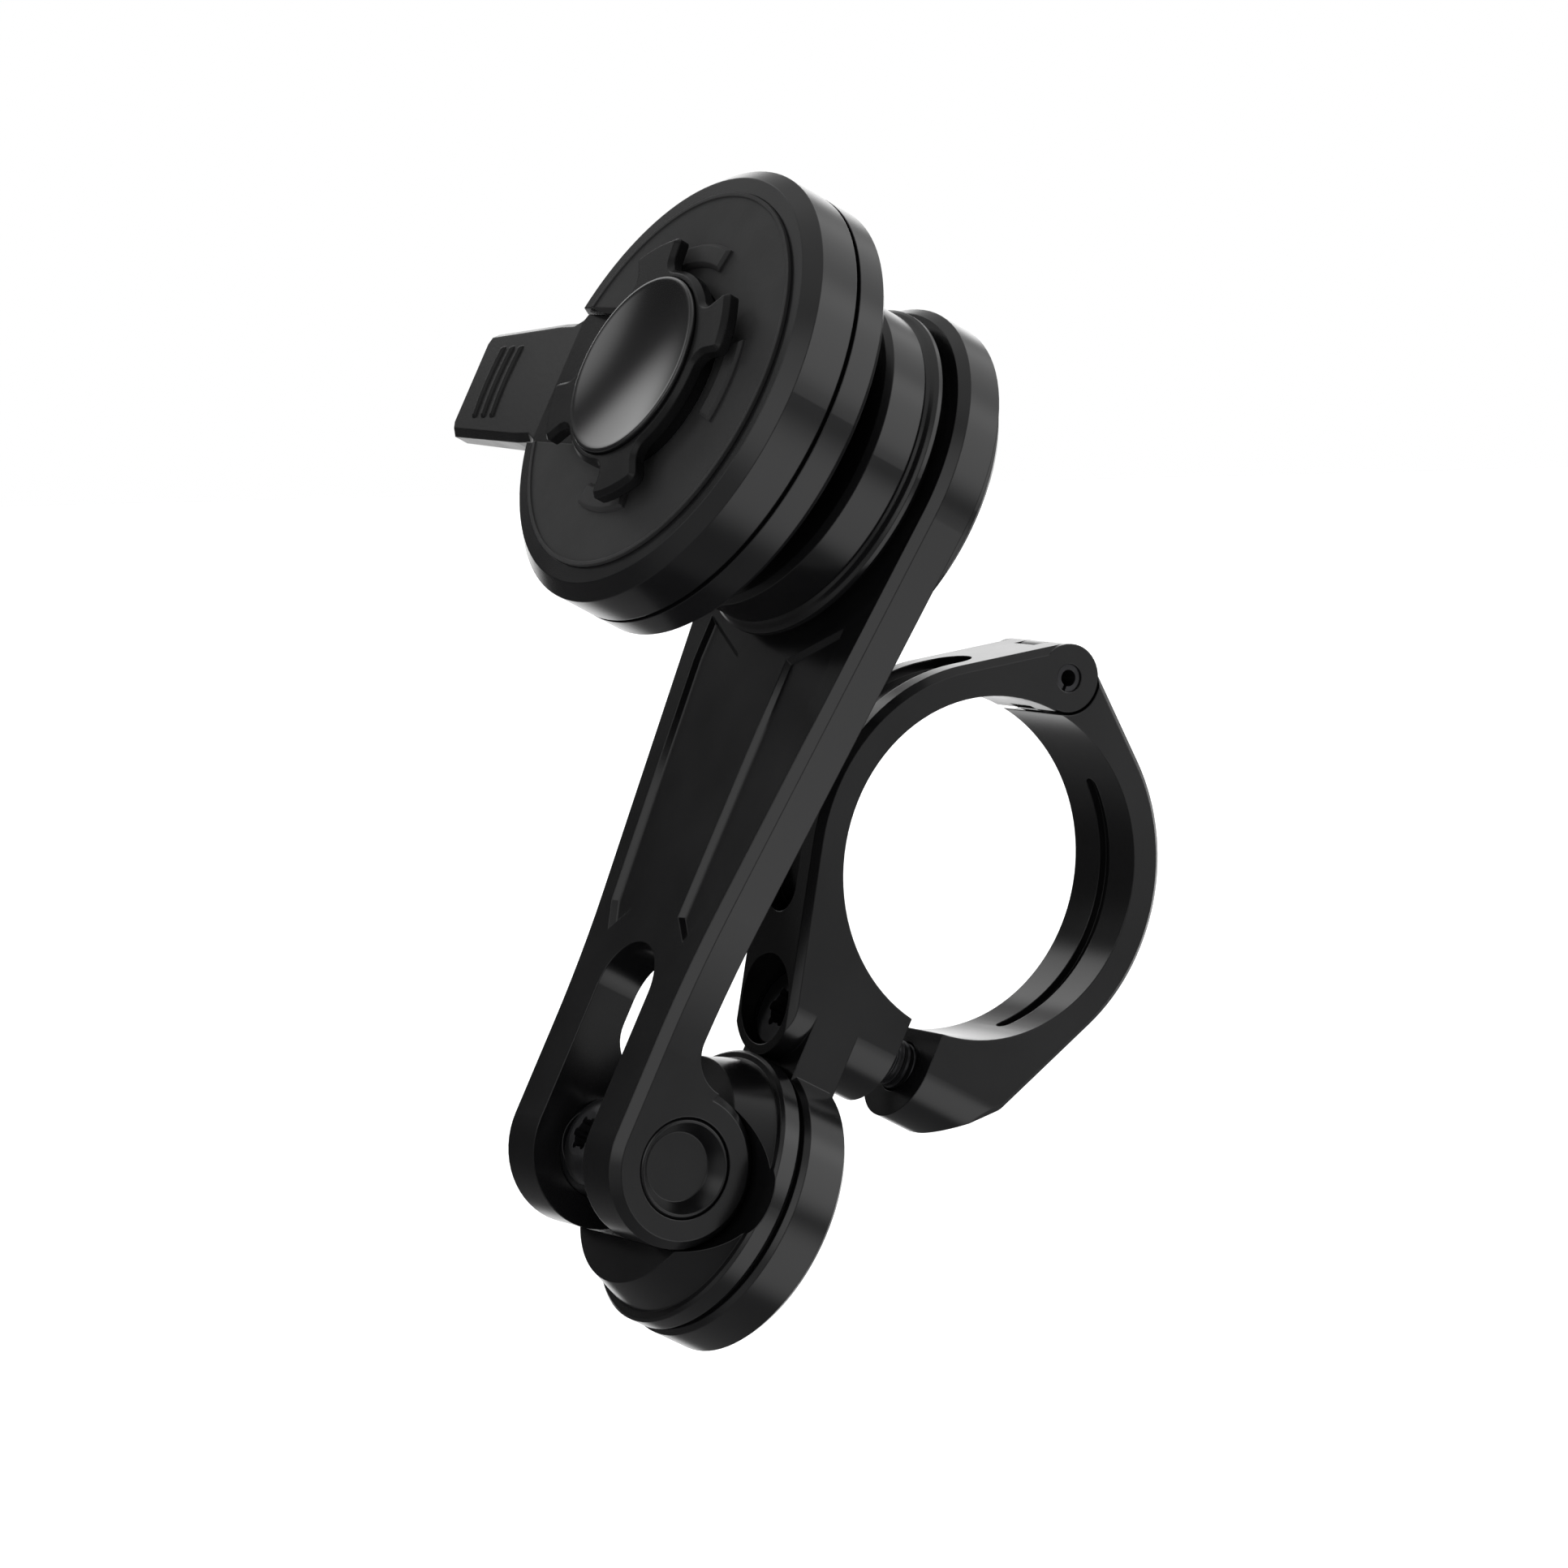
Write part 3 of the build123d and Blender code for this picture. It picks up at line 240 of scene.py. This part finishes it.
def makeFinish(name, finish):
    material = bpy.data.materials.new(name)
    material.use_nodes = True
    tree = material.node_tree
    shader = tree.nodes["Principled BSDF"]
    cloud = noise(tree, finish["cloud"], surface["cloudDetail"], surface["cloudRoughness"])
    tint = mapped(tree, cloud, surface["cloudRange"], (0, 1))
    colour = mixedColour(tree, tint, finish["dark"], finish["light"])
    roughness = mapped(tree, cloud, surface["cloudRange"], finish["rough"])
    link(tree, colour, shader.inputs["Base Color"])
    link(tree, roughness, shader.inputs["Roughness"])
    for socket, value in finish.get("fixed", {}).items():
        shader.inputs[socket].default_value = value
    addGrain(tree, shader, finish)
    return material


anodisedFinish = {
    "dark": (0.0034, 0.0034, 0.0037),
    "light": (0.0052, 0.0052, 0.0056),
    "rough": (0.18, 0.23),
    "cloud": 70.0,             # patches to a metre
    "grain": 5200.0,           # grains to a metre
    "grainDepth": 0.000006,
    "relief": 0.30,
    "edge": 0.00016,           # how round a sharp edge looks
}
polymerFinish = {
    "dark": (0.0042, 0.0042, 0.0044),
    "light": (0.0064, 0.0064, 0.0066),
    "rough": (0.22, 0.28),
    "cloud": 140.0,
    "grain": 2600.0,
    "grainDepth": 0.000012,
    "relief": 0.35,
    "edge": 0.00022,
    "fixed": {"Specular IOR Level": 0.20},
}
steelFinish = {
    "dark": (0.030, 0.030, 0.032),
    "light": (0.055, 0.055, 0.058),
    "rough": (0.26, 0.38),
    "cloud": 260.0,
    "grain": 4200.0,
    "grainDepth": 0.000005,
    "relief": 0.25,
    "edge": 0.00012,
    "fixed": {"Metallic": 0.85},
}
padFinish = {
    "dark": (0.012, 0.012, 0.0124),
    "light": (0.017, 0.017, 0.0174),
    "rough": (0.55, 0.68),
    "cloud": 180.0,
    "grain": 3400.0,
    "grainDepth": 0.00002,
    "relief": 0.45,
    "edge": 0.00020,
    "fixed": {"Specular IOR Level": 0.42, "Sheen Weight": 0.05},
}
capFinish = {
    "dark": (0.0040, 0.0040, 0.0043),
    "light": (0.0060, 0.0060, 0.0064),
    "rough": (0.14, 0.18),
    "cloud": 90.0,
    "grain": 5200.0,
    "grainDepth": 0.000003,
    "relief": 0.20,
    "edge": 0.00015,
    "fixed": {"Coat Weight": 0.65, "Coat Roughness": 0.15},
}
nickelFinish = {
    "dark": (0.50, 0.49, 0.47),
    "light": (0.62, 0.61, 0.59),
    "rough": (0.16, 0.28),
    "cloud": 220.0,
    "grain": 3000.0,
    "grainDepth": 0.000004,
    "relief": 0.20,
    "edge": 0.00015,
    "fixed": {"Metallic": 1.0},
}
springFinish = {
    "dark": (0.30, 0.30, 0.31),
    "light": (0.46, 0.46, 0.47),
    "rough": (0.22, 0.36),
    "cloud": 600.0,
    "grain": 6000.0,
    "grainDepth": 0.000003,
    "relief": 0.25,
    "edge": 0.00003,
    "fixed": {"Metallic": 1.0},
}
rubberFinish = {
    "dark": (0.008, 0.008, 0.008),
    "light": (0.014, 0.014, 0.014),
    "rough": (0.62, 0.78),
    "cloud": 160.0,
    "grain": 2200.0,
    "grainDepth": 0.00002,
    "relief": 0.45,
    "edge": 0.00020,
    "fixed": {"Specular IOR Level": 0.35},
}
finishes = {
    "anodised_aluminium": makeFinish("anodisedBlack", anodisedFinish),
    "black_polymer": makeFinish("mouldedPolymer", polymerFinish),
    "black_steel": makeFinish("blackSteel", steelFinish),
    "soft_pad": makeFinish("softPad", padFinish),
    "gloss_cap": makeFinish("satinCap", capFinish),
    "nickel_magnet": makeFinish("nickelPlate", nickelFinish),
    "spring_steel": makeFinish("springSteel", springFinish),
    "damper_rubber": makeFinish("damperRubber", rubberFinish),
}
for part in record["subparts"]:
    thing = nodes[part["node"]]
    thing.data.materials.clear()
    thing.data.materials.append(finishes[part["material_slot"]])
print("finishes on", len(nodes), "nodes")

swivelJoint = next(joint for joint in record["behaviour"]["joints"] if joint["name"] == "swivel")
leanAxis = Vector(swivelJoint["axis"]).normalized()  # the way the mount faces
sideAxis = Vector((1, 0, 0))                         # along the handlebar
upAxis = leanAxis.cross(sideAxis)                    # along the arm, towards the head


def axialSpan(nodeName):
    points = [vertex.co for vertex in nodes[nodeName].data.vertices]
    along = [point.dot(leanAxis) for point in points]
    height = [point.dot(upAxis) for point in points]
    return {
        "back": min(along),
        "front": max(along),
        "height": (min(height) + max(height)) / 2,
        "radius": max(abs(point.x) for point in points),
    }


def meshPiece(name, mesh):
    bmesh.ops.recalc_face_normals(mesh, faces=mesh.faces)
    data = bpy.data.meshes.new(name)
    mesh.to_mesh(data)
    mesh.free()
    piece = bpy.data.objects.new(name, data)
    bpy.context.scene.collection.objects.link(piece)
    return piece


def latheMesh(name, outline, height, turns):
    mesh = bmesh.new()
    rings = []
    for radius, along in outline:
        middle = upAxis * height + leanAxis * along
        if radius == 0:
            rings.append([mesh.verts.new(middle)])
            continue
        ring = []
        for step in range(turns):
            angle = 2 * math.pi * step / turns
            spoke = sideAxis * math.cos(angle) + upAxis * math.sin(angle)
            ring.append(mesh.verts.new(middle + spoke * radius))
        rings.append(ring)
    for first, second in zip(rings, rings[1:]):
        for step in range(turns):
            after = (step + 1) % turns
            corners = [first[step % len(first)], first[after % len(first)]]
            corners += [second[after % len(second)], second[step % len(second)]]
            face = mesh.faces.new(list(dict.fromkeys(corners)))  # a point at the middle counts once
            face.smooth = True
    return meshPiece(name, mesh)


def finishPiece(piece, body, slotName):
    piece.data.materials.append(finishes[slotName])
    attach(piece, body)


dishedCap = {
    "dish": 0.00075,   # depth of the hollow
    "rim": 0.00045,    # rim round it
    "round": 0.00018,  # of the edge outside the rim
    "roundSteps": 4,
    "steps": 28,       # across the hollow
    "turns": 160,      # facets round the cap
}


def makeDishedCap(setup):
    span = axialSpan("lug_cap")
    radius = span["radius"]
    rim = radius - setup["rim"]
    ball = (rim ** 2 + setup["dish"] ** 2) / (2 * setup["dish"])  # radius of the hollow's sphere
    floor = span["front"] - setup["dish"]
    outline = [(0, span["back"])]
    outline.append((radius - setup["round"], span["back"]))
    outline.append((radius, span["back"] + setup["round"]))
    for step in range(setup["roundSteps"] + 1):
        angle = math.pi / 2 * step / setup["roundSteps"]
        inset = setup["round"] * (1 - math.cos(angle))
        drop = setup["round"] * (1 - math.sin(angle))
        outline.append((radius - inset, span["front"] - drop))
    for step in range(setup["steps"]):
        reach = rim * (1 - step / setup["steps"])
        outline.append((reach, floor + ball - math.sqrt(ball ** 2 - reach ** 2)))
    outline.append((0, floor))
    piece = latheMesh("satinDishedCap", outline, span["height"], setup["turns"])
    finishPiece(piece, "head", "gloss_cap")
    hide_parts("lug_cap")


boltThread = {
    "pitch": 0.0008,
    "rise": 0.00014,       # crest above the shank
    "sink": 0.00006,       # foot of the ridge, inside the shank
    "footShare": 0.84,     # width of the foot, of the pitch
    "crestShare": 0.18,    # width of the crest, of the foot
    "shank": 0.0024,       # radius
    "headLength": 0.0048,
    "spare": 0.0005,       # plain ends of the shank
    "steps": 40,           # to a turn
}


def makeBoltThread(setup):
    span = axialSpan("clamp_bolt")
    start = span["back"] + setup["spare"]
    length = span["front"] - setup["headLength"] - setup["spare"] - start
    count = int(length / setup["pitch"] * setup["steps"])
    foot = setup["pitch"] * setup["footShare"] / 2
    crest = foot * setup["crestShare"]
    section = [  # height over the shank, place along it
        (-setup["sink"], -foot),
        (setup["rise"], -crest),
        (setup["rise"], crest),
        (-setup["sink"], foot),
    ]
    mesh = bmesh.new()
    rows = []
    for step in range(count + 1):
        angle = 2 * math.pi * step / setup["steps"]
        spoke = sideAxis * math.cos(angle) + upAxis * math.sin(angle)
        along = start + length * step / count
        taper = min(1, step / setup["steps"], (count - step) / setup["steps"])  # runs out over one turn
        row = []
        for rise, shift in section:
            radius = setup["shank"] + (rise * taper if rise > 0 else rise)
            place = upAxis * span["height"] + leanAxis * (along + shift) + spoke * radius
            row.append(mesh.verts.new(place))
        rows.append(row)
    for first, second in zip(rows, rows[1:]):
        for side in range(len(section)):
            after = (side + 1) % len(section)
            mesh.faces.new((first[side], first[after], second[after], second[side]))
    mesh.faces.new(rows[0][::-1])
    mesh.faces.new(rows[-1])
    finishPiece(meshPiece("clampBoltThread", mesh), "bolt", "black_steel")


makeDishedCap(dishedCap)
makeBoltThread(boltThread)
print("cap and thread ready")
